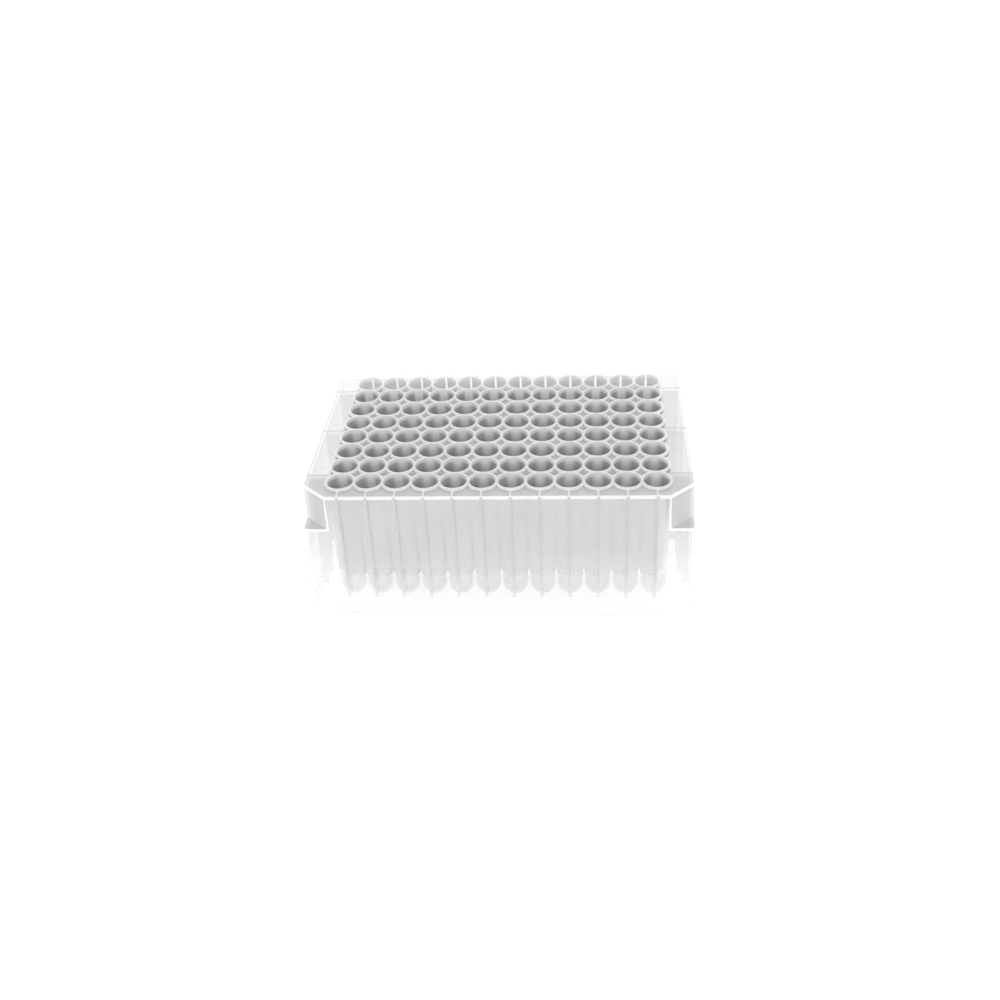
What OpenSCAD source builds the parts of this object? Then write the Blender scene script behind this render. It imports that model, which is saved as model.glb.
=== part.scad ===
// Deep-well plate: one moulding, with a grid of round-bottomed tubes that hang from a deck
// inside a skirt, which leans out to a flanged base. Two corners of the upper body are cut.
// +X runs along the length, the cut corners face -Y and +Z is up.
// Origin: centre of the base, on the plane that the plate stands on. Lengths are in millimetres.

/* [Well grid] */
// Wells along the length
cols = 12; // [4:1:24]
// Wells across the width
rows = 8; // [4:1:16]
// Distance between neighbouring well centres
pitch = 9; // [8.6:0.1:12]
// Distance from the end of the base to the first column of wells
edge_x = 14.38; // [14:0.01:20]
// Distance from the long side of the base to the nearest row of wells
edge_y = 11.24; // [10.8:0.01:16]

/* [Wells] */
// Inside diameter of a well at its mouth
mouth_d = 8.25; // [7:0.05:8.4]
// Inside diameter of a well where its round bottom starts
floor_d = 7; // [5:0.1:8]
// Thickness of a tube's wall at its mouth
mouth_wall = 0.82; // [0.5:0.01:1]
// Thickness of a tube's wall where its round bottom starts
floor_wall = 0.66; // [0.5:0.01:1]
// Thickness of the round bottom at its lowest point
bottom_t = 1; // [0.6:0.05:2]
// Height of the rims above the deck
rim_h = 0.75; // [0.3:0.05:3]
// Gap between the tubes' bottoms and the plane that the plate stands on
tube_gap = 1.8; // [0.5:0.1:6]

/* [Body] */
// Height over all, from the base to the rims
plate_h = 46; // [36:0.5:60]
// Thickness of the deck
deck_t = 1.1; // [0.8:0.05:3]
// Thickness of the skirt's wall under the deck
skirt_top_t = 1; // [0.7:0.05:1.4]
// Thickness of the skirt's wall at its foot
skirt_foot_t = 0.8; // [0.6:0.05:1.2]
// How far each end wall leans out between the deck and the flange
lean_x = 1.2; // [0.4:0.05:3]
// How far each long wall leans out between the deck and the flange
lean_y = 1.7; // [0.4:0.05:3]
// Radius of the skirt's upright corners
skirt_r = 1.6; // [1.2:0.1:4]

/* [Cut corners] */
// Length of the cut along the long wall, at the deck
cut_l = 7.7; // [3:0.1:9]
// Length of the cut along the end wall, at the deck
cut_w = 6.95; // [3:0.05:9]
// Depth of the cut below the deck, down to its ledge
cut_h = 12; // [4:0.5:24]
// Thickness of the ledge
ledge_t = 0.9; // [0.6:0.05:2]

/* [Base] */
// Height of the flange
flange_h = 2.5; // [2:0.1:5]
// Width by which the flange stands out from the skirt
flange_w = 1.58; // [0.8:0.02:3]
// Radius of the flange's corners
flange_r = 3.2; // [2:0.1:6]
// Depth of the stacking recess under the base
recess_h = 1.7; // [0.5:0.1:1.9]
// Width of the stacking recess's step
recess_w = 0.6; // [0.3:0.05:1]
// Width of the notches in the flange's lower edge
slot_w = 3.2; // [2:0.1:6]
// Height of the notches in the flange's lower edge
slot_h = 1.3; // [0.5:0.1:1.8]

/* [Ribs] */
// Thickness of the column ribs under the deck
rib_top_t = 1.2; // [0.8:0.05:1.6]
// Thickness of the column ribs at their lower end
rib_foot_t = 0.8; // [0.6:0.05:1.2]
// Gap between the lower end of the column ribs and the base
rib_gap = 6.6; // [3:0.1:20]
// Thickness of the end ribs
end_rib_t = 1; // [0.6:0.05:1.6]
// Gap between the base and the part of an end rib that meets the tubes
end_rib_gap = 20; // [10:0.5:30]
// Width of an end rib's strip along the wall, at its upper end
strip_w = 4.6; // [3.5:0.1:5.2]
// How much narrower that strip is at its lower end
strip_taper = 1.5; // [0.2:0.1:1.6]
// Gap between the strip and the base
strip_gap = 6.4; // [3:0.1:9]
// Width of the narrow foot that runs on down the wall below the strip
foot_w = 1.7; // [0.8:0.1:2.4]

/* [Hidden] */
$fn = 64;
eps = 0.01;
frost = [0.9, 0.92, 0.93, 0.6];

// Grid and footprint
grid_l = (cols - 1) * pitch;
grid_w = (rows - 1) * pitch;
base_l = grid_l + 2 * edge_x;
base_w = grid_w + 2 * edge_y;

// Levels
deck_z = plate_h - rim_h;
deck_under = deck_z - deck_t;

// Tube: two cones and two balls on one axis
mouth_r = mouth_d / 2;
floor_r = floor_d / 2;
tube_mouth_r = mouth_r + mouth_wall;
tube_floor_r = floor_r + floor_wall;
tube_ball_z = tube_gap + tube_floor_r;
well_ball_z = tube_gap + bottom_t + floor_r;

// Length and width of the skirt's outside at height z
function body_l(z) = base_l - 2 * flange_w - 2 * lean_x * (z - flange_h) / (deck_z - flange_h);
function body_w(z) = base_w - 2 * flange_w - 2 * lean_y * (z - flange_h) / (deck_z - flange_h);
// Thickness of the skirt's wall at height z
function skirt_t(z) = skirt_foot_t + (skirt_top_t - skirt_foot_t) * (z - recess_h) / (deck_under - recess_h);
// Lean of the two cut faces, in degrees
cut_lean = atan((cut_w * lean_x + cut_l * lean_y) / norm([cut_w, cut_l]) / (deck_z - flange_h));

// Rectangle with rounded corners, centred on the origin
module rounded_rect(l, w, r) {
    square([l - 2 * r, w], center = true);
    square([l, w - 2 * r], center = true);
    for (x = [-1, 1], y = [-1, 1])
        translate([x * (l / 2 - r), y * (w / 2 - r)]) circle(r);
}

// Block with leaning walls between two heights, t0 and t1 inside the skirt's outer face at each
module leaning_block(z0, z1, t0, t1) {
    foot = [body_l(z0) - 2 * t0, body_w(z0) - 2 * t0];
    top = [body_l(z1) - 2 * t1, body_w(z1) - 2 * t1];
    translate([0, 0, z0])
        linear_extrude(height = z1 - z0, scale = [top.x / foot.x, top.y / foot.y], slices = 1)
            rounded_rect(foot.x, foot.y, skirt_r, $fn = 32);
}

// What a cut takes off both front corners: all that is outside its leaning face and above its ledge.
// The face is moved in by t, and the ledge down by drop.
module corner_cuts(t, drop) {
    reach = 2 * norm([cut_l, cut_w]);
    for (side = [-1, 1])
        mirror([side < 0 ? 1 : 0, 0, 0])
            translate([body_l(deck_z) / 2 - cut_l, -body_w(deck_z) / 2, deck_z])
                rotate(atan2(cut_w, cut_l))
                    intersection() {
                        rotate([-cut_lean, 0, 0])
                            translate([-reach, -reach + t, -2 * cut_h])
                                cube([3 * reach, reach, 3 * cut_h]);
                        translate([-2 * reach, -2 * reach, -cut_h - drop])
                            cube([5 * reach, 3 * reach, 2 * cut_h]);
                    }
}

// Puts its children at every well
module at_wells() {
    for (c = [0 : cols - 1], r = [0 : rows - 1])
        translate([c * pitch - grid_l / 2, r * pitch - grid_w / 2, 0]) children();
}

// Round-bottomed peg on the Z axis: a ball of radius ball_r at ball_z, and a cone from there up to end_z
module peg(ball_z, ball_r, end_z, end_r) {
    translate([0, 0, ball_z])
        rotate_extrude() {
            polygon([[0, 0], [ball_r, 0], [end_r, end_z - ball_z], [0, end_z - ball_z]]);
            intersection() {
                circle(ball_r);
                translate([0, -ball_r]) square(ball_r);
            }
        }
}

// Outside of one tube, up to its rim
module tube() {
    peg(tube_ball_z, tube_floor_r, plate_h, tube_mouth_r);
}

// Inside of one well, open at the top
module bore() {
    taper = (mouth_r - floor_r) / (plate_h - well_ball_z);
    peg(well_ball_z, floor_r, plate_h + 1, mouth_r + taper);
}

// Skirt and deck, with the walls and ledges of the two cut corners, as one shell
module shell() {
    difference() {
        union() {
            leaning_block(flange_h, deck_z, 0, 0);
            flange();
        }
        corner_cuts(0, 0);
        difference() {
            leaning_block(recess_h, deck_under, skirt_foot_t, skirt_top_t);
            corner_cuts(skirt_top_t, ledge_t);
        }
        recess();
    }
}

// Solid plate of the flange
module flange() {
    linear_extrude(flange_h) rounded_rect(base_l, base_w, flange_r);
}

// Recess under the base that seats on the deck of the plate below in a stack
module recess() {
    step = skirt_foot_t - recess_w;
    translate([0, 0, -1])
        linear_extrude(recess_h + 1)
            rounded_rect(body_l(recess_h) - 2 * step, body_w(recess_h) - 2 * step, skirt_r);
}

// Notches in the flange's lower edge, at the first and last columns
module flange_slots() {
    for (x = [-1, 1], y = [-1, 1])
        translate([x * grid_l / 2 - slot_w / 2, y * base_w / 2 - flange_w, -1])
            cube([slot_w, 2 * flange_w, slot_h + 1]);
}

// Upright plates that tie the outer tubes of each column to the long walls
module column_ribs() {
    rib_y = grid_w / 2;
    top_y = body_w(deck_under) / 2 - skirt_top_t / 2;
    foot_y = body_w(rib_gap) / 2 - skirt_foot_t / 2;
    for (c = [0 : cols - 1], side = [-1, 1])
        translate([c * pitch - grid_l / 2, 0, 0])
            intersection() {
                rotate([90, 0, 0])
                    linear_extrude(height = base_w, center = true)
                        polygon([[-rib_foot_t / 2, rib_gap], [rib_foot_t / 2, rib_gap],
                                 [rib_top_t / 2, deck_z - eps], [-rib_top_t / 2, deck_z - eps]]);
                rotate([90, 0, 90])
                    linear_extrude(height = 2 * rib_top_t, center = true)
                        polygon([[side * rib_y, rib_gap], [side * foot_y, rib_gap],
                                 [side * top_y, deck_z - eps], [side * rib_y, deck_z - eps]]);
            }
}

// Stepped plates that tie the outer tubes to the end walls, between rows of wells
module end_ribs() {
    tube_x = grid_l / 2;
    wall_top = body_l(deck_under) / 2 - skirt_top_t / 2;
    wall_foot = body_l(recess_h) / 2 - skirt_foot_t / 2;
    strip_top = body_l(end_rib_gap) / 2 - skirt_t(end_rib_gap) - strip_w;
    strip_foot = strip_top + strip_taper;
    foot_x = body_l(strip_gap) / 2 - skirt_t(strip_gap) - foot_w;
    for (row = [1, rows / 2, rows - 1], side = [-1, 1])
        translate([0, row * pitch - rows * pitch / 2, 0])
            mirror([side < 0 ? 1 : 0, 0, 0])
                rotate([90, 0, 0])
                    linear_extrude(height = end_rib_t, center = true)
                        polygon([[tube_x, deck_z - eps], [wall_top, deck_z - eps], [wall_foot, recess_h],
                                 [foot_x, recess_h], [foot_x, strip_gap], [strip_foot, strip_gap],
                                 [strip_top, end_rib_gap], [tube_x, end_rib_gap]]);
}

module plate() {
    color(frost)
        difference() {
            union() {
                shell();
                at_wells() tube();
                column_ribs();
                end_ribs();
            }
            at_wells() bore();
            flange_slots();
        }
}

plate();
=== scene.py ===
"""Deep-well plate in natural polypropylene, on a white table in a soft studio.

The plate is rebuilt here from the sizes of its construction, with the small edge
radii that the mould gives it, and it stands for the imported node. The raised row
letters and column numbers on the deck are a piece of their own. Sizes are in
millimetres up to as_object(), which makes them metres.
"""
import math

import bmesh
import bpy
from mathutils import Matrix, Vector

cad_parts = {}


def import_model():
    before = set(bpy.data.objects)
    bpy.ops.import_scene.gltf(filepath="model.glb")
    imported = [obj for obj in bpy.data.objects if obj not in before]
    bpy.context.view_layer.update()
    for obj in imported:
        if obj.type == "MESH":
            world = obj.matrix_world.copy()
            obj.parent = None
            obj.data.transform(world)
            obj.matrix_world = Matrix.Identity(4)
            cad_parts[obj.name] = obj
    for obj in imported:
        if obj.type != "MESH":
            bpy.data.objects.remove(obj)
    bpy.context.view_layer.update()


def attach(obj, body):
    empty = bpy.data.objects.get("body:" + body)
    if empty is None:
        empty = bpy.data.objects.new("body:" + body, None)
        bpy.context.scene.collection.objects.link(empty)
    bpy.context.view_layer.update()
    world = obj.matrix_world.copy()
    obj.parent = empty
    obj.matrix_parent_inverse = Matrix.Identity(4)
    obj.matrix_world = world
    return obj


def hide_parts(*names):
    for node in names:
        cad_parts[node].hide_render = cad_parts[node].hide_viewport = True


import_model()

MM = 0.001

# Well grid
COLS, ROWS, PITCH = 12, 8, 9.0
EDGE_X, EDGE_Y = 14.38, 11.24  # from the ends and the sides of the base to the first wells
GRID_L, GRID_W = (COLS - 1) * PITCH, (ROWS - 1) * PITCH
BASE_L, BASE_W = GRID_L + 2 * EDGE_X, GRID_W + 2 * EDGE_Y

# Levels
PLATE_H = 46.0
RIM_H = 0.75
DECK_Z = PLATE_H - RIM_H
DECK_T = 1.1
DECK_UNDER = DECK_Z - DECK_T

# Wells and tubes
MOUTH_R, FLOOR_R = 8.25 / 2, 7.0 / 2
MOUTH_WALL, FLOOR_WALL, BOTTOM_T, TUBE_GAP = 0.82, 0.66, 1.0, 1.8
RIM_EDGE = 0.22  # radius of the rims' two edges
RIM_TURNS = 0, math.pi / 6, math.pi / 3, math.pi / 2  # angles of the points along such an edge
TIP_Z = 11.0  # below this the tubes' tips are clearer
FAR_WALL = 0.9 * FLOOR_R  # what is farther from a row's middle is the front or the back of its wells
TUBE_SIDES = 40

# Skirt
SKIRT_TOP_T, SKIRT_FOOT_T = 1.0, 0.8
LEAN_X, LEAN_Y = 1.2, 1.7
SKIRT_R = 1.6
CUT_L, CUT_W, CUT_H, LEDGE_T = 7.7, 6.95, 12.0, 0.9
FLANGE_H, FLANGE_W, FLANGE_R = 2.5, 1.58, 3.2
RECESS_H, RECESS_W = 1.7, 0.6
SLOT_W, SLOT_H = 3.2, 1.3
SKIRT_EDGE = 0.25  # radius of the skirt's, deck's and flange's edges

LEDGE_Z = DECK_Z - CUT_H
CUT_ALONG = math.atan2(CUT_W, CUT_L)
CUT_LEAN = (CUT_W * LEAN_X + CUT_L * LEAN_Y) / math.hypot(CUT_L, CUT_W) / (DECK_Z - FLANGE_H)

# Ribs
RIB_TOP_T, RIB_FOOT_T, RIB_GAP = 1.2, 0.8, 6.6
END_RIB_T, END_RIB_GAP = 1.0, 20.0
END_RIB_LIFT = 0.05  # gap between the end ribs' feet and the recess
STRIP_W, STRIP_TAPER, STRIP_GAP, FOOT_W = 4.6, 1.5, 6.4, 1.7

# Building the mesh
PAST = 1.0  # how far a solid reaches past the face that it joins or cuts
WELD, ON_SEAM = 0.002, 0.001  # nearer points become one, and nearer to X or Y zero they lie on a seam
SAME_PLANE = 0.6  # flatter joints dissolve, in degrees
SHARP, SMOOTH = 35, 32  # sharper edges are rounded, and sharper joints look creased, in degrees

# Telling faces apart
FACING = 0.9  # a face whose normal has more than this along an axis faces that way
BACKWARD, LEVEL = 0.5, 0.99  # and these along +Y and +Z are the least for the back and for a level face
CORNER_LEAST, CORNER_MOST = 0.15, 0.98  # the sideways part of the normal on a rounded corner
NEAR = 0.4  # what is nearer than this to an outer surface belongs to it
LEDGE_LOW = LEDGE_Z - 0.3  # the cut faces and the ledges' tops lie above this
FLANGE_CLEAR = FLANGE_H + 0.5  # the corners' painted light lines end here, above the flange
DECK_SKIN, DECK_LOW = 0.1, 0.01  # tolerances below the deck's top and its underside
COLUMN_END = 1.0  # the lines along the columns reach this far past the first and the last

# Painted light and shade in the plastic, and where it is clearer
BAND = 0.35  # width of the painted light line up the front edge of a cut corner
RIB_LINE, RIB_FACE = 0.6, 1.0  # widths of the painted shade lines where a rib meets the deck and the wall; over the front column ribs the deck's lines are painted light instead
CLEAR_RIB, CLEAR_WEB = 0.6, 2.7  # width of the clear lines in the wells at a rib, and of the painted light strips at the last rows' joints
CLEAR_Z, HAZY_Z = 12.0, 22.0  # the skirt is clearest and painted lightest up to the first height, and haziest and greyest from the second: a painted shade high up under the deck
FRONT_X, FRONT_Z = 51.8, 18.0  # half length and foot of the front wall's part before the tubes, which is hazier and painted grey, a painted shade

# Material slots of the plate's mesh
(SHELL, SHELL_MID, SHELL_LOW, EDGES, CORNERS, LEDGES, DECK, DECK_PAINTED_SHADE, RIB_LINES, RIBS, RIB_FEET, RIB_FACES,
 END_RIBS, TUBES, WELLS, OUTER_WELLS, CLEAR_RIBS, PAINTED_LIGHT_WEBS, TIPS, TIP_WELLS, DECK_BACK, FRONT, BACK_TUBES,
 RIB_TIPS, RIMS, RIM_TOPS) = range(26)


def body_l(z):
    """Length of the skirt's outside at height z."""
    return BASE_L - 2 * FLANGE_W - 2 * LEAN_X * (z - FLANGE_H) / (DECK_Z - FLANGE_H)


def body_w(z):
    """Width of the skirt's outside at height z."""
    return BASE_W - 2 * FLANGE_W - 2 * LEAN_Y * (z - FLANGE_H) / (DECK_Z - FLANGE_H)


def skirt_t(z):
    """Thickness of the skirt's wall at height z."""
    return SKIRT_FOOT_T + (SKIRT_TOP_T - SKIRT_FOOT_T) * (z - RECESS_H) / (DECK_UNDER - RECESS_H)


# ---------------------------------------------------------------- mesh building


def new_object(name, data):
    """A new object in the scene with this data."""
    made = bpy.data.objects.new(name, data)
    bpy.context.scene.collection.objects.link(made)
    return made


def final_mesh(thing):
    """A mesh of what an object is once its modifiers have run, or its lettering is filled in."""
    bpy.context.view_layer.update()
    return bpy.data.meshes.new_from_object(thing.evaluated_get(bpy.context.evaluated_depsgraph_get()))


def as_object(name, verts, faces, slot=SHELL):
    """An object with this mesh, given in millimetres, and all its faces in one material slot."""
    mesh = bpy.data.meshes.new(name)
    mesh.from_pydata([[c * MM for c in v] for v in verts], [], faces)
    for _ in range(RIM_TOPS + 1):
        mesh.materials.append(None)
    mesh.polygons.foreach_set("material_index", [slot] * len(mesh.polygons))
    return new_object(name, mesh)


def rounded_outline(length, width, radius, steps=7):
    """Points round a rectangle with rounded corners, centred on the origin."""
    points = []
    for quarter, (sx, sy) in enumerate([(1, 1), (-1, 1), (-1, -1), (1, -1)]):
        for k in range(steps + 1):
            a = math.pi / 2 * (quarter + k / steps)
            points.append((sx * (length / 2 - radius) + radius * math.cos(a),
                           sy * (width / 2 - radius) + radius * math.sin(a)))
    return points


def loft(name, rings):
    """A closed solid through rings, each a list of points with its height."""
    n = len(rings[0][0])
    verts = [(x, y, z) for points, z in rings for x, y in points]
    faces = [list(range(n))[::-1], list(range((len(rings) - 1) * n, len(rings) * n))]
    for r in range(len(rings) - 1):
        for k in range(n):
            a, b = r * n + k, r * n + (k + 1) % n
            faces.append([a, b, b + n, a + n])
    return as_object(name, verts, faces)


def prism(name, outline, places, depth, slot=SHELL):
    """Closed solids of one outline (x, z), drawn out backwards over this depth from each place along Y."""
    verts, faces = [], []
    n = len(outline)
    for place in places:
        base = len(verts)
        verts += [(x, y, z) for y in (place, place + depth) for x, z in outline]
        front, back = list(range(base, base + n)), list(range(base + n, base + 2 * n))
        faces += [front, back[::-1]]
        faces += [[front[(k + 1) % n], front[k], back[k], back[(k + 1) % n]] for k in range(n)]
    return as_object(name, verts, faces, slot)


def revolved(name, profile, centres, slot):
    """Closed solids of revolution, one at each centre. The profile runs from the axis, up, and back to it."""
    verts, faces = [], []
    turns = [(math.cos(math.tau * k / TUBE_SIDES), math.sin(math.tau * k / TUBE_SIDES))
             for k in range(TUBE_SIDES)]
    inner = profile[1:-1]
    for x, y in centres:
        base = len(verts)
        verts.append((x, y, profile[0][1]))
        for r, z in inner:
            verts += [(x + r * c, y + r * s, z) for c, s in turns]
        verts.append((x, y, profile[-1][1]))
        last = len(verts) - 1
        for k in range(TUBE_SIDES):
            j = (k + 1) % TUBE_SIDES
            faces.append([base, base + 1 + j, base + 1 + k])
            for ring in range(len(inner) - 1):
                a = base + 1 + ring * TUBE_SIDES
                faces.append([a + k, a + j, a + j + TUBE_SIDES, a + k + TUBE_SIDES])
            top = last - TUBE_SIDES
            faces.append([last, top + k, top + j])
    return as_object(name, verts, faces, slot)


def combine(target, operation, *others):
    """Joins other closed meshes into target, or cuts them from it, and removes them."""
    for other in others:
        step = target.modifiers.new(operation, "BOOLEAN")
        step.operation, step.solver, step.object = operation, "MANIFOLD", other
        result = final_mesh(target)
        target.modifiers.clear()
        target.data = result
        bpy.data.objects.remove(other)
    return target


def middle_of(face):
    """The middle of a bmesh face, in millimetres."""
    return face.calc_center_median() / MM


def cut_faces(bm, axis, places, within=None):
    """Cuts faces along planes across an axis, at these places in millimetres."""
    normal = Vector([axis == name for name in "XYZ"])
    for place in places:
        faces = [f for f in bm.faces if within is None or within(f)]
        geometry = {v for f in faces for v in f.verts} | {e for f in faces for e in f.edges} | set(faces)
        bmesh.ops.bisect_plane(bm, geom=list(geometry), plane_co=normal * place * MM, plane_no=normal)


# ---------------------------------------------------------------- parts of the surface


def well_centres(columns=range(COLS), rows=range(ROWS)):
    """Centres of the wells in these columns and rows."""
    return [(c * PITCH - GRID_L / 2, r * PITCH - GRID_W / 2) for c in columns for r in rows]


def end_rib_places():
    """Middle of each end rib across the plate: between the rows of wells."""
    return [row * PITCH - ROWS * PITCH / 2 for row in (1, ROWS / 2, ROWS - 1)]


def column_sides(width):
    """Both sides of a line of this width along each column of wells."""
    return [c * PITCH - GRID_L / 2 + side * width / 2 for c in range(COLS) for side in (-1, 1)]


def near_column(point, width):
    """Whether a point is within a line of this width along a column of wells."""
    x = point.x + GRID_L / 2
    return abs(x - PITCH * round(x / PITCH)) < width / 2 and -COLUMN_END < x < GRID_L + COLUMN_END


def outermost(point):
    """Whether a point lies on the body's outside."""
    out = ((abs(point.x) - body_l(DECK_Z) / 2 + CUT_L) * math.sin(CUT_ALONG)
           - (point.y + body_w(DECK_Z) / 2) * math.cos(CUT_ALONG))
    on_cut = point.z > LEDGE_LOW and (DECK_Z - point.z) * CUT_LEAN - out < NEAR
    return on_cut or not within_walls(point)


def within_walls(point):
    """Whether a point lies inside all four outer walls, away from their planes."""
    return abs(point.x) <= body_l(point.z) / 2 - NEAR and abs(point.y) <= body_w(point.z) / 2 - NEAR


def shell_painted_light_and_shade(bm):
    """Names the parts of the shell, with painted light and shade. The outer edges of the deck and ledges get
    painted light bands of their own, for the light that they guide, broken where a rib joins. The walls clear
    and are painted lighter towards their foot, and are hazier and painted grey before the tubes."""
    ledge_x, ledge_y = body_l(LEDGE_Z) / 2 - CUT_L, CUT_W - body_w(LEDGE_Z) / 2
    post_x = body_l(DECK_UNDER) / 2 - CUT_L - BAND

    def wall(face):
        return abs(face.normal.z) < FACING

    def upright(face):
        return wall(face) and outermost(middle_of(face))

    def at_rib(face):
        middle = middle_of(face)
        return (upright(face) and abs(face.normal.y) > FACING and RIB_GAP < middle.z < DECK_Z - SKIRT_EDGE
                and near_column(middle, RIB_FACE))

    def before_tubes(face):
        return upright(face) and face.normal.y < -FACING and middle_of(face).z > FRONT_Z

    def front_corner(face):
        middle = middle_of(face)
        return (upright(face) and middle.y < 0 and FLANGE_CLEAR < middle.z < LEDGE_Z - LEDGE_T
                and CORNER_LEAST < abs(face.normal.x) < CORNER_MOST)

    def in_band(face):
        middle = middle_of(face)
        if not upright(face) or middle.z < LEDGE_Z - LEDGE_T:
            return False
        ledge = middle.z < LEDGE_Z and middle.y < ledge_y and abs(middle.x) > ledge_x
        post = face.normal.y < -FACING and abs(middle.x) > post_x
        return middle.z > DECK_UNDER or ledge or post

    cut_faces(bm, "Z", [DECK_UNDER, LEDGE_Z, LEDGE_Z - LEDGE_T, RIB_GAP], upright)
    cut_faces(bm, "Z", [CLEAR_Z, HAZY_Z], wall)
    cut_faces(bm, "X", column_sides(RIB_FACE) + [-ledge_x, ledge_x, -post_x, post_x], upright)
    cut_faces(bm, "Z", [FRONT_Z], upright)
    cut_faces(bm, "X", [-FRONT_X, FRONT_X], before_tubes)
    for face in bm.faces:
        middle = middle_of(face)
        edge = face.material_index == EDGES
        if face.normal.y > BACKWARD and outermost(middle):
            face.material_index = SHELL_LOW
        # painted shade: darker lines where the ribs meet the front wall
        elif at_rib(face):
            face.material_index = RIB_FACES if middle.z > CLEAR_Z else RIB_TIPS
        # painted light bands along the outer edges and down the front corners
        elif in_band(face) or front_corner(face):
            face.material_index = EDGES
        # painted shade: the front wall before the tubes is greyed
        elif before_tubes(face) and abs(middle.x) < FRONT_X and middle.z < DECK_UNDER:
            face.material_index = FRONT
        elif edge and middle.z < LEDGE_LOW:
            face.material_index = SHELL
        # the cut corners' faces take a painted shade
        elif edge and (not outermost(middle) or middle.z < LEDGE_Z + NEAR and within_walls(middle)):
            face.material_index = CORNERS
        # painted shade: the skirt is greyer high up under the deck and lighter towards its foot
        if face.material_index == SHELL and middle.z < HAZY_Z:
            face.material_index = SHELL_LOW if middle.z < CLEAR_Z and not edge else SHELL_MID
    rib_lines(bm)


def rib_lines(bm):
    """Painted shade and light: the deck gets darker lines over the end ribs, and lighter ones over the front
    column ribs, where they show through.
    """
    def on_deck(face):
        return face.normal.z > FACING and middle_of(face).z > DECK_Z - DECK_SKIN

    def in_front(face):
        return on_deck(face) and middle_of(face).y < -GRID_W / 2

    cut_faces(bm, "Y", [-GRID_W / 2], on_deck)
    cut_faces(bm, "X", column_sides(RIB_LINE), in_front)
    cut_faces(bm, "Y", [y + side * RIB_LINE / 2 for y in end_rib_places() for side in (-1, 1)], on_deck)
    for face in bm.faces:
        y = middle_of(face).y
        if on_deck(face) and min(abs(y - place) for place in end_rib_places()) < RIB_LINE / 2:
            face.material_index = RIB_LINES


def clear_lines(target):
    """Cuts the outer rows' wells along the ribs that meet them, which let light through."""
    def outer_wall(face):
        return face.material_index == WELLS and abs(middle_of(face).y) > GRID_W / 2 + FAR_WALL

    bm = bmesh.new()
    bm.from_mesh(target.data)
    cut_faces(bm, "X", column_sides(CLEAR_RIB), outer_wall)
    bm.to_mesh(target.data)
    bm.free()


def deck_slot(middle):
    """The slot of the deck at a point: painted shade over the tubes and in front, and clearest and painted
    lighter at the back.
    """
    between = abs(middle.x) < GRID_L / 2 and middle.y < GRID_W / 2
    first, *_, last = end_rib_places()
    # painted light: lighter lines on the deck over the front column ribs
    if middle.y < -GRID_W / 2 and near_column(middle, RIB_LINE):
        return RIM_TOPS
    if middle.y > last and not between:
        return DECK_BACK
    return DECK_PAINTED_SHADE if between or middle.y < first else DECK


def tube_slot(part, middle, normal):
    """The slot of a tube or a well at a point. part is TUBES or WELLS."""
    outwards = abs(middle.y) - GRID_W / 2
    if middle.z > PLATE_H - RIM_EDGE:
        return RIM_TOPS if normal.z > LEVEL else RIMS
    if middle.z < TIP_Z:
        return TIPS if part == TUBES else TIP_WELLS
    if part == TUBES:
        return BACK_TUBES if middle.y > 0 and outwards > 0 else TUBES
    if outwards > 0:
        clear = middle.y > 0 and outwards > FAR_WALL and near_column(middle, CLEAR_RIB)
        return CLEAR_RIBS if clear else OUTER_WELLS
    # the wells' strips at the last rows' joint get painted light
    web = abs(middle.y - GRID_W / 2 + PITCH / 2) < PITCH / 2 - FAR_WALL
    return PAINTED_LIGHT_WEBS if web and near_column(middle, CLEAR_WEB) else WELLS


def name_regions(target):
    """Gives parts of the deck, the ledges, the ribs and the tubes slots of their own."""
    for face in target.data.polygons:
        middle, part = face.center / MM, face.material_index
        if part in (SHELL, CORNERS) and middle.z > DECK_UNDER - DECK_LOW and abs(face.normal.z) > FACING:
            face.material_index = deck_slot(middle)
        # the ledges' tops take a painted shade
        elif part == CORNERS and middle.z > LEDGE_LOW and face.normal.z > FACING:
            face.material_index = LEDGES
        elif part == RIBS and middle.z < TIP_Z:
            face.material_index = RIB_FEET
        elif part in (TUBES, WELLS):
            face.material_index = tube_slot(part, middle, face.normal)


# ---------------------------------------------------------------- the moulding


def leaning_block(name, z0, z1, t0, t1):
    """Block with leaning walls between two heights, t0 and t1 inside the skirt's outer face at each."""
    return loft(name, [(rounded_outline(body_l(z) - 2 * t, body_w(z) - 2 * t, SKIRT_R), z)
                       for z, t in ((z0, t0), (z1, t1))])


def corner_cut(side, inset, drop):
    """What a cut takes off one front corner: all outside its leaning face and above its ledge."""
    reach = 2 * math.hypot(CUT_L, CUT_W)
    corners = []
    for z in (LEDGE_Z - drop, DECK_Z + 2 * PAST):
        face = (DECK_Z - z) * CUT_LEAN - inset
        corners += [(-reach, -face, z), (2 * reach, -face, z),
                    (2 * reach, -face - reach, z), (-reach, -face - reach, z)]
    turned = []
    for u, v, z in corners:
        x = body_l(DECK_Z) / 2 - CUT_L + u * math.cos(CUT_ALONG) - v * math.sin(CUT_ALONG)
        y = -body_w(DECK_Z) / 2 + u * math.sin(CUT_ALONG) + v * math.cos(CUT_ALONG)
        turned.append((side * x, y, z))
    faces = [[0, 1, 2, 3], [7, 6, 5, 4], [4, 5, 1, 0], [5, 6, 2, 1], [6, 7, 3, 2], [7, 4, 0, 3]]
    return as_object("cut", turned, faces if side > 0 else [f[::-1] for f in faces], CORNERS)


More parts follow.
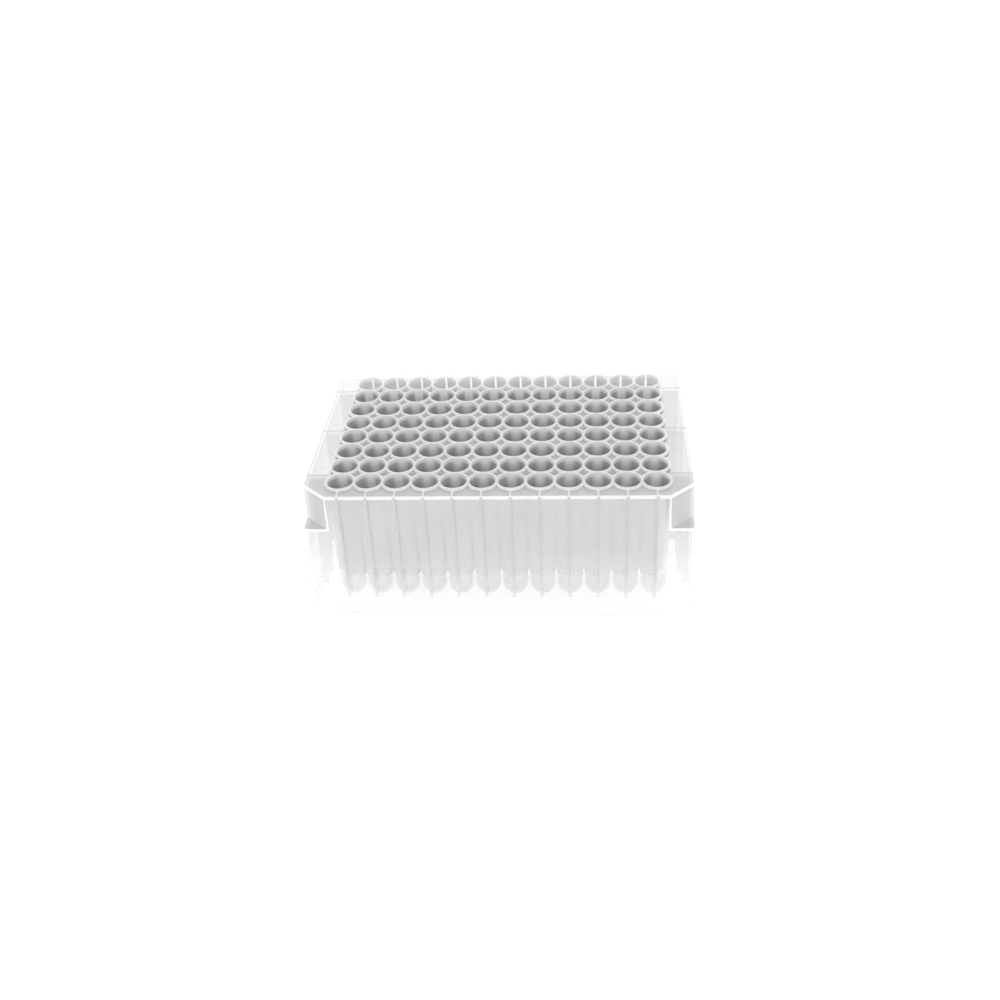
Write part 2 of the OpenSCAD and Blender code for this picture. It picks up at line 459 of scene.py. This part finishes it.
def round_edges(target, radius):
    """Rounds the sharp edges of a flat-sided mesh, and names its parts."""
    bm = bmesh.new()
    bm.from_mesh(target.data)
    bmesh.ops.remove_doubles(bm, verts=bm.verts, dist=WELD * MM)
    # a face that runs all round is cut in four, because one polygon can't have a hole
    cut_faces(bm, "X", [0])
    cut_faces(bm, "Y", [0])
    free = [v for v in bm.verts if min(abs(v.co.x), abs(v.co.y)) > ON_SEAM * MM]
    kept = set(bm.verts) - set(free)
    bmesh.ops.dissolve_limit(bm, angle_limit=math.radians(SAME_PLANE), verts=free,
                             edges=[e for e in bm.edges if not kept.issuperset(e.verts)])
    sharp = [e for e in bm.edges if e.is_manifold and e.calc_face_angle(0) > math.radians(SHARP)]
    bmesh.ops.bevel(bm, geom=sharp, offset=radius * MM, segments=2, profile=0.5,
                    affect="EDGES", clamp_overlap=True, material=EDGES)
    shell_painted_light_and_shade(bm)
    bm.to_mesh(target.data)
    bm.free()


def shell():
    """Skirt, deck, cut corners and flange as one hollow shell with rounded edges."""
    made = leaning_block("plate_moulding", FLANGE_H - PAST, DECK_Z, 0, 0)
    combine(made, "DIFFERENCE", corner_cut(1, 0, 0), corner_cut(-1, 0, 0))
    combine(made, "UNION",
            loft("flange", [(rounded_outline(BASE_L, BASE_W, FLANGE_R), z) for z in (0, FLANGE_H)]))
    hollow_z = RECESS_H - PAST / 2
    hollow = leaning_block("hollow", hollow_z, DECK_UNDER, skirt_t(hollow_z), SKIRT_TOP_T)
    combine(hollow, "DIFFERENCE", corner_cut(1, SKIRT_TOP_T, LEDGE_T), corner_cut(-1, SKIRT_TOP_T, LEDGE_T))
    step = 2 * (SKIRT_FOOT_T - RECESS_W)
    recess = loft("recess", [(rounded_outline(body_l(RECESS_H) - step, body_w(RECESS_H) - step, SKIRT_R), z)
                             for z in (-PAST, RECESS_H)])
    combine(made, "DIFFERENCE", hollow, recess)
    notch = [(-SLOT_W / 2, -PAST), (SLOT_W / 2, -PAST), (SLOT_W / 2, SLOT_H), (-SLOT_W / 2, SLOT_H)]
    sides = [-BASE_W / 2 - PAST, BASE_W / 2 - FLANGE_W]
    for column in (-GRID_L / 2, GRID_L / 2):
        outline = [(column + x, z) for x, z in notch]
        combine(made, "DIFFERENCE", prism("notches", outline, sides, FLANGE_W + PAST))
    round_edges(made, SKIRT_EDGE)
    return made


def ball_profile(ball_z, radius, steps=6):
    """Points (radius, height) of a round bottom, from its lowest point up to its widest."""
    turns = [math.pi / 2 * k / steps for k in range(steps + 1)]
    return [(radius * math.sin(a), ball_z - radius * math.cos(a)) for a in turns]


def level_point(low, high, z):
    """The point at height z on the line between two points (radius, height)."""
    share = (z - low[1]) / (high[1] - low[1])
    return low[0] + share * (high[0] - low[0]), z


def tube_profile():
    """Outside of a tube, from its lowest point up to its rounded rim."""
    mouth_r, floor_r = MOUTH_R + MOUTH_WALL, FLOOR_R + FLOOR_WALL
    rim = [(mouth_r - RIM_EDGE * (1 - math.cos(a)), PLATE_H - RIM_EDGE * (1 - math.sin(a)))
           for a in RIM_TURNS]
    bottom = ball_profile(TUBE_GAP + floor_r, floor_r)
    tip = level_point(bottom[-1], (mouth_r, PLATE_H), TIP_Z)
    return bottom + [tip] + rim + [(0, PLATE_H)]


def bore_profile():
    """Inside of a well, from its floor up to its flared mouth, and on above the rim."""
    mouth = [(MOUTH_R + RIM_EDGE * (1 - math.cos(a)), PLATE_H - RIM_EDGE * (1 - math.sin(a)))
             for a in RIM_TURNS]
    bottom = ball_profile(TUBE_GAP + BOTTOM_T + FLOOR_R, FLOOR_R)
    tip = level_point(bottom[-1], (MOUTH_R, PLATE_H), TIP_Z)
    return bottom + [tip] + mouth + [(MOUTH_R + RIM_EDGE, PLATE_H + PAST), (0, PLATE_H + PAST)]


def column_ribs():
    """Upright tapered plates from the outer tubes to the long walls, in line with each column."""
    verts, faces = [], []
    top_y = body_w(DECK_UNDER) / 2 - SKIRT_TOP_T / 2
    foot_y = body_w(RIB_GAP) / 2 - SKIRT_FOOT_T / 2
    top_z = DECK_Z - DECK_T / 2
    for side in (-1, 1):
        for c in range(COLS):
            x, base = c * PITCH - GRID_L / 2, len(verts)
            for z in (RIB_GAP, TIP_Z, top_z):
                share = (z - RIB_GAP) / (top_z - RIB_GAP)
                far = foot_y + share * (top_y - foot_y)
                t = RIB_FOOT_T + share * (RIB_TOP_T - RIB_FOOT_T)
                verts += [(x - t / 2, side * GRID_W / 2, z), (x + t / 2, side * GRID_W / 2, z),
                          (x + t / 2, side * far, z), (x - t / 2, side * far, z)]
            box = [[0, 3, 2, 1], [8, 9, 10, 11]]
            box += [[k + i, k + (i + 1) % 4, k + 4 + (i + 1) % 4, k + 4 + i] for k in (0, 4) for i in range(4)]
            faces += [[base + i for i in (f if side > 0 else f[::-1])] for f in box]
    return as_object("column_ribs", verts, faces, RIBS)


def end_ribs(side):
    """Stepped plates from the outer tubes to one end wall, between rows of wells."""
    tube_x, top_z, foot_z = GRID_L / 2, DECK_Z - DECK_T / 2, RECESS_H + END_RIB_LIFT
    strip_x = body_l(END_RIB_GAP) / 2 - skirt_t(END_RIB_GAP) - STRIP_W
    foot_x = body_l(STRIP_GAP) / 2 - skirt_t(STRIP_GAP) - FOOT_W
    wall_top = body_l(DECK_UNDER) / 2 - SKIRT_TOP_T / 2
    wall_foot = body_l(RECESS_H) / 2 - SKIRT_FOOT_T / 2
    outline = [(tube_x, top_z), (wall_top, top_z), (wall_foot, foot_z), (foot_x, foot_z), (foot_x, STRIP_GAP),
               (strip_x + STRIP_TAPER, STRIP_GAP), (strip_x, END_RIB_GAP), (tube_x, END_RIB_GAP)]
    if side > 0:
        outline.reverse()  # so that the faces point outwards
    else:
        outline = [(-x, z) for x, z in outline]
    return prism("end_ribs", outline, [y - END_RIB_T / 2 for y in end_rib_places()], END_RIB_T, END_RIBS)


def moulding():
    """The whole plate as one closed mesh."""
    made = shell()
    # neighbouring tubes overlap, so they join in four sets whose own tubes stand clear of each other
    for c in (0, 1):
        for r in (0, 1):
            centres = well_centres(range(c, COLS, 2), range(r, ROWS, 2))
            combine(made, "UNION", revolved("tubes", tube_profile(), centres, TUBES))
    combine(made, "UNION", column_ribs(), end_ribs(1), end_ribs(-1))
    combine(made, "DIFFERENCE", revolved("bores", bore_profile(), well_centres(), WELLS))
    clear_lines(made)
    name_regions(made)
    made.data.polygons.foreach_set("use_smooth", [True] * len(made.data.polygons))
    made.data.set_sharp_from_angle(angle=math.radians(SMOOTH))
    return made


plate = moulding()


# ---------------------------------------------------------------- marks

MARK_SIZE = 2.5  # size of the lettering, whose capitals are about 0.7 of it
MARK_H = 0.1  # height of the raised marks
ROW_MARK_X = -57.0
COLUMN_MARK_Y, COLUMN_MARK_SHIFT = 38.1, 2.1


def grid_marks():
    """Raised row letters at the left of the deck and column numbers along its back, as one mesh."""
    labels = [(chr(ord("A") + ROWS - 1 - r), ROW_MARK_X, r * PITCH - GRID_W / 2) for r in range(ROWS)]
    labels += [(str(c + 1), c * PITCH - GRID_L / 2 + COLUMN_MARK_SHIFT, COLUMN_MARK_Y) for c in range(COLS)]
    bm = bmesh.new()
    for text, x, y in labels:
        curve = bpy.data.curves.new("mark", "FONT")
        curve.body, curve.size, curve.extrude = text, MARK_SIZE * MM, MARK_H * MM
        curve.align_x, curve.align_y, curve.resolution_u = "CENTER", "CENTER", 4
        lettering = new_object("mark", curve)
        mesh = final_mesh(lettering)
        mesh.transform(Matrix.Translation(Vector((x, y, DECK_Z)) * MM))
        bm.from_mesh(mesh)
        bpy.data.objects.remove(lettering)
        bpy.data.meshes.remove(mesh)
    mesh = bpy.data.meshes.new("grid_marks")
    bm.to_mesh(mesh)
    bm.free()
    return new_object("grid_marks", mesh)


marks = grid_marks()


# ---------------------------------------------------------------- materials

# Surface of the plastic
SHEEN = 0.02  # how strongly the surfaces mirror at a flat angle
GLOSS_R = 0.12  # roughness of what they mirror
ROUGH_LEAST, ROUGH_MOST = 0.25, 0.38
CLOUD_LOW, CLOUD_HIGH, CLOUD_GREY = 0.3, 0.7, 0.97  # range of the clouding, and the grey that it reaches

# Grey levels that change with the place: painted light and shade. Heights, depths and widths are in
# millimetres.
WELL_MOUTH, WELL_GREY, WELL_DEEP = 0.85, 0.5, 0.9  # in a well: the painted light at the mouth, the painted shade below it, and the lighter grey far down
WELL_EDGE, WELL_FADE = 0.9, 1.8  # the mouth's painted light band ends between these depths
WELL_DIM, WELL_DIM_DEPTH = 0.75, 7.0  # painted shade: the share of the grey left at this depth
WELL_LIGHTEST_Z = 28.0  # height from which down a well is painted its lightest grey
WEB_GREY, WEB_CORE, WEB_HALF = 1.0, 0.4, 2.5  # a well's painted light strip, with half widths of core and strip
TUBE_MID, TUBE_SIDE, TUBE_CORE = 0.94, 1.0, 1.2  # a tube's middle and its side, painted lighter against the shade where it meets the next, and half width of the middle
RIB_CORE, RIB_HALF = 0.6, 2.4  # half widths of the painted light line along a tube's rib
FRONT_GREYS, FRONT_TOP_Z = (0.75, 0.79), 32.0  # painted shade on the front wall: its grey at FRONT_Z, and from the second height up
END_RIB_GREY, END_RIB_LOW_Z, END_RIB_HIGH_Z = 0.72, 4.0, 22.0  # painted shade: it falls to this grey between the heights, darkest up under the deck


def new_material(name):
    """A material with empty nodes. Returns it, its nodes and its links."""
    made = bpy.data.materials.new(name)
    made.use_nodes = True
    made.node_tree.nodes.clear()
    return made, made.node_tree.nodes, made.node_tree.links


def add(nodes, kind, **sockets):
    """A node with these input sockets set, named with _ for a space."""
    made = nodes.new(kind)
    for key, value in sockets.items():
        made.inputs[key.replace("_", " ")].default_value = value
    return made


def feed(links, sockets, values):
    """Gives each socket its value: a number, or another node's output."""
    for socket, value in zip(sockets, values):
        if isinstance(value, float):
            socket.default_value = value
        else:
            links.new(value, socket)


def add_math(nodes, links, operation, first, second):
    """The output of a Math node on two values, each a number or an output."""
    made = nodes.new("ShaderNodeMath")
    made.operation = operation
    feed(links, made.inputs, (first, second))
    return made.outputs["Value"]


def map_range(nodes, links, value, low, high, to_low=0.0, to_high=1.0):
    """A soft step: to_low up to low, to_high from high on."""
    made = add(nodes, "ShaderNodeMapRange", From_Min=low, From_Max=high, To_Min=to_low, To_Max=to_high)
    made.interpolation_type = "SMOOTHSTEP"
    links.new(value, made.inputs["Value"])
    return made.outputs["Result"]


def blend(nodes, links, share, first, second):
    """first where share is 0, second where it is 1. Each is a number or an output."""
    made = nodes.new("ShaderNodeMix")
    feed(links, (made.inputs["Factor"], made.inputs["A"], made.inputs["B"]), (share, first, second))
    return made.outputs["Result"]


def place_axes(nodes, links):
    """The object's own coordinates, and its X, Y and Z apart."""
    place = nodes.new("ShaderNodeTexCoord").outputs["Object"]
    apart = nodes.new("ShaderNodeSeparateXYZ")
    links.new(place, apart.inputs["Vector"])
    return place, apart.outputs["X"], apart.outputs["Y"], apart.outputs["Z"]


def beside_column(nodes, links, x):
    """How far a point is to the left or right of the nearest column of wells."""
    between = add_math(nodes, links, "PINGPONG", x, PITCH * MM / 2)
    return add_math(nodes, links, "SUBTRACT", PITCH * MM / 2, between)


def well_painted_light_and_shade(nodes, links, axes):
    """Grey level inside a well, with painted light and shade: a painted light band along its mouth, painted
    shade that deepens with depth, and lighter again far down. An upright painted light strip, where its wall is
    one with the next row's, stands for the light that passes there."""
    x, _, z = axes
    dim_z = (PLATE_H - WELL_DIM_DEPTH) * MM
    mouth = map_range(nodes, links, z, (PLATE_H - WELL_FADE) * MM, (PLATE_H - WELL_EDGE) * MM,
                      WELL_GREY, WELL_MOUTH)
    beside = beside_column(nodes, links, x)
    strip = map_range(nodes, links, beside, WEB_CORE * MM, WEB_HALF * MM, 1.0, 0.0)
    web = blend(nodes, links, strip, mouth, WEB_GREY)
    depth = map_range(nodes, links, z, dim_z, PLATE_H * MM, WELL_DIM, 1.0)
    dim = add_math(nodes, links, "MULTIPLY", web, depth)
    clear = map_range(nodes, links, z, WELL_LIGHTEST_Z * MM, dim_z, WELL_DEEP, 0.0)
    return add_math(nodes, links, "MAXIMUM", dim, clear)


def tube_painted_light(nodes, links, axes):
    """Grey level outside a tube, with painted light: lighter beside it, where it meets the next, and along its
    rib, against the shade in those hollows.
    """
    beside = beside_column(nodes, links, axes[0])
    side = map_range(nodes, links, beside, TUBE_CORE * MM, PITCH / 2 * MM, TUBE_MID, TUBE_SIDE)
    rib = map_range(nodes, links, beside, RIB_CORE * MM, RIB_HALF * MM, 1.0, 0.0)
    return add_math(nodes, links, "MAXIMUM", side, rib)


def front_painted_shade(nodes, links, axes):
    """Painted shade on the front wall before the tubes: darker towards its foot, which more light meets."""
    return map_range(nodes, links, axes[2], FRONT_Z * MM, FRONT_TOP_Z * MM, *FRONT_GREYS)


def end_rib_painted_shade(nodes, links, axes):
    """Grey level of the end ribs, a painted shade: darker up under the deck, lighter towards the foot."""
    return map_range(nodes, links, axes[2], END_RIB_LOW_Z * MM, END_RIB_HIGH_Z * MM, 1.0, END_RIB_GREY)


def polypropylene(name, grey, haze):
    """See-through moulded plastic. grey is its level, or a function that makes one from the place. haze is the
    share of light that each surface scatters: the rest passes or mirrors."""
    made, nodes, links = new_material(name)
    place, *axes = place_axes(nodes, links)
    cloud = add(nodes, "ShaderNodeTexNoise", Scale=90.0, Detail=3.0)
    grain = add(nodes, "ShaderNodeTexNoise", Scale=2600.0, Detail=2.0)
    for texture in (cloud, grain):
        links.new(place, texture.inputs["Vector"])
    bump = add(nodes, "ShaderNodeBump", Strength=0.04, Distance=0.0002)
    links.new(grain.outputs["Fac"], bump.inputs["Height"])

    def clouded(low, high):
        return map_range(nodes, links, cloud.outputs["Fac"], CLOUD_LOW, CLOUD_HIGH, low, high)

    body = add(nodes, "ShaderNodeBsdfPrincipled", IOR=1.49)
    cloudy = clouded(1.0, CLOUD_GREY)
    level = grey(nodes, links, axes) if callable(grey) else grey
    links.new(add_math(nodes, links, "MULTIPLY", level, cloudy), body.inputs["Base Color"])
    links.new(clouded(ROUGH_LEAST, ROUGH_MOST), body.inputs["Roughness"])
    clear = add(nodes, "ShaderNodeBsdfTransparent", Color=(1, 1, 1, 1))
    mirror = add(nodes, "ShaderNodeBsdfGlossy", Color=(1, 1, 1, 1), Roughness=GLOSS_R)
    sheen = add(nodes, "ShaderNodeLayerWeight", Blend=SHEEN)
    film = nodes.new("ShaderNodeMixShader")
    mixed = add(nodes, "ShaderNodeMixShader", Fac=haze)
    for shader in (body, mirror, sheen):
        links.new(bump.outputs["Normal"], shader.inputs["Normal"])
    links.new(sheen.outputs["Facing"], film.inputs["Fac"])
    links.new(clear.outputs["BSDF"], film.inputs[1])
    links.new(mirror.outputs["BSDF"], film.inputs[2])
    links.new(film.outputs["Shader"], mixed.inputs[1])
    links.new(body.outputs["BSDF"], mixed.inputs[2])
    links.new(mixed.outputs["Shader"], nodes.new("ShaderNodeOutputMaterial").inputs["Surface"])
    return made


FINISH = {  # per slot: name, grey level, haze
    # the skirt: greyer high up and lighter towards its foot, a painted shade
    SHELL: ("polypropylene_skirt", 0.88, 0.15),
    # painted shade: a grey sheet on the front wall before the tubes
    FRONT: ("polypropylene_front_wall_painted_shade", front_painted_shade, 0.55),
    SHELL_MID: ("polypropylene_skirt_middle", 0.95, 0.05),
    SHELL_LOW: ("polypropylene_skirt_foot", 1.0, 0.02),
    # painted shade on the cut corners and their ledges
    CORNERS: ("polypropylene_corners_painted_shade", 0.7, 0.5),
    LEDGES: ("polypropylene_ledges_painted_shade", 0.52, 0.65),
    # painted shade lines on the deck over the end ribs
    RIB_LINES: ("polypropylene_rib_lines_painted_shade", 0.45, 0.6),
    # painted highlight: white bands along the outer edges
    EDGES: ("polypropylene_edges_painted_light", 1.0, 0.9),
    DECK: ("polypropylene_deck", 0.87, 0.24),
    # the deck: painted lighter at the back, painted shade over the tubes and in front
    DECK_BACK: ("polypropylene_deck_back_painted_light", 0.95, 0.08),
    DECK_PAINTED_SHADE: ("polypropylene_deck_over_tubes_painted_shade", 0.68, 0.6),
    RIBS: ("polypropylene_ribs", 1.0, 0.9),
    RIB_FEET: ("polypropylene_rib_feet", 0.95, 0.2),
    # painted shade lines where the ribs meet the front wall, high and low
    RIB_FACES: ("polypropylene_rib_faces_painted_shade", 0.71, 0.85),
    RIB_TIPS: ("polypropylene_rib_tips_painted_shade", 0.8, 0.6),
    # painted shade: the end ribs are darker up under the deck
    END_RIBS: ("polypropylene_end_ribs_painted_shade", end_rib_painted_shade, 0.3),
    # painted light on the tubes' sides and along their ribs
    TUBES: ("polypropylene_tubes_painted_light", tube_painted_light, 0.95),
    BACK_TUBES: ("polypropylene_back_tubes", 0.85, 0.5),
    # painted light and shade in the wells
    WELLS: ("polypropylene_wells_painted_light_and_shade", well_painted_light_and_shade, 0.9),
    OUTER_WELLS: ("polypropylene_outer_wells", 0.7, 0.6),
    CLEAR_RIBS: ("polypropylene_clear_ribs", 1.0, 0.1),
    # painted highlight: white strips in the wells at the last rows' joint
    PAINTED_LIGHT_WEBS: ("polypropylene_webs_painted_light", 1.0, 0.9),
    TIPS: ("polypropylene_tips", 0.97, 0.2),
    TIP_WELLS: ("polypropylene_tip_wells", 0.8, 0.08),
    RIMS: ("polypropylene_rims", 1.0, 0.7),
    RIM_TOPS: ("polypropylene_rim_tops", 0.9, 0.75),
}
for index, (name, grey, haze) in FINISH.items():
    plate.data.materials[index] = polypropylene(name, grey, haze)
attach(plate, "root")
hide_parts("plate")

marks.data.materials.append(polypropylene("polypropylene_marks", 0.95, 0.15))
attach(marks, "root")


# ---------------------------------------------------------------- studio

TABLE = 4  # half width of the table top, in metres
FLOOR_GAP = 0.0001  # keeps the table off the plate's own lowest faces
FLOOR_COLOUR = 0.98  # of the table that lights the plate
FLOOR_SHADOW, FLOOR_WHITE = 0.12, 0.92  # of the table that is seen: a part with shadows, and an even white
AIM = Vector((0, 0, 0.02))


def seen_rays(nodes, links):
    """1 for the rays by which the camera sees a surface, straight, mirrored or through glass, and 0 for those
    that light it."""
    path = nodes.new("ShaderNodeLightPath")
    value = path.outputs["Is Camera Ray"]
    for name in ("Is Glossy Ray", "Is Transmission Ray"):
        value = add_math(nodes, links, "MAXIMUM", value, path.outputs[name])
    return value


def floor():
    """A white table top. What the camera sees of it is lifted to plain white, and keeps a faint shadow."""
    mesh = bpy.data.meshes.new("floor")
    corners = [(-TABLE, -TABLE), (TABLE, -TABLE), (TABLE, TABLE), (-TABLE, TABLE)]
    mesh.from_pydata([(x, y, -FLOOR_GAP) for x, y in corners], [], [(0, 1, 2, 3)])
    made = new_object("floor", mesh)
    material, nodes, links = new_material("table")
    lit = add(nodes, "ShaderNodeBsdfDiffuse", Color=(FLOOR_COLOUR,) * 3 + (1,))
    shadow = add(nodes, "ShaderNodeBsdfDiffuse", Color=(FLOOR_SHADOW,) * 3 + (1,))
    white = add(nodes, "ShaderNodeEmission", Strength=FLOOR_WHITE)
    seen, mixed = nodes.new("ShaderNodeAddShader"), nodes.new("ShaderNodeMixShader")
    links.new(shadow.outputs["BSDF"], seen.inputs[0])
    links.new(white.outputs["Emission"], seen.inputs[1])
    links.new(seen_rays(nodes, links), mixed.inputs["Fac"])
    links.new(lit.outputs["BSDF"], mixed.inputs[1])
    links.new(seen.outputs["Shader"], mixed.inputs[2])
    links.new(mixed.outputs["Shader"], nodes.new("ShaderNodeOutputMaterial").inputs["Surface"])
    mesh.materials.append(material)


def world():
    """Soft even light from all round, which the camera sees as plain white."""
    made = bpy.data.worlds.new("studio")
    made.use_nodes = True
    nodes = made.node_tree.nodes
    nodes.clear()
    light = add(nodes, "ShaderNodeBackground", Color=(1, 1, 1, 1), Strength=1.0)
    made.node_tree.links.new(light.outputs["Background"], nodes.new("ShaderNodeOutputWorld").inputs["Surface"])
    bpy.context.scene.world = made


def softbox(name, place, power, size):
    """A square lamp that faces the plate."""
    data = bpy.data.lights.new(name, "AREA")
    data.energy, data.size = power, size
    made = new_object(name, data)
    made.location = place
    made.rotation_euler = (AIM - made.location).to_track_quat("-Z", "Y").to_euler()


def camera(place, target, roll, lens):
    """Camera at place, looking at target, rolled clockwise by roll degrees."""
    data = bpy.data.cameras.new("camera")
    data.lens, data.sensor_width, data.clip_start = lens, 36, 0.01
    made = new_object("camera", data)
    look = (Vector(target) - Vector(place)).to_track_quat("-Z", "Y").to_matrix().to_4x4()
    made.matrix_world = Matrix.Translation(place) @ look @ Matrix.Rotation(math.radians(-roll), 4, "Z")
    bpy.context.scene.camera = made


floor()
world()
softbox("key", place=(0.4, -0.7, 1.2), power=1.5, size=0.9)
camera(place=(0.02641, -0.31883, 0.23828), target=(-0.00129, -0.00934, 0.023), roll=3.17, lens=40.07)

scene = bpy.context.scene
scene.view_settings.view_transform = "Standard"
# light passes many thin walls on its way through the wells
scene.cycles.max_bounces = 32
scene.cycles.diffuse_bounces = 24
scene.cycles.glossy_bounces = 12
scene.cycles.transparent_max_bounces = 96
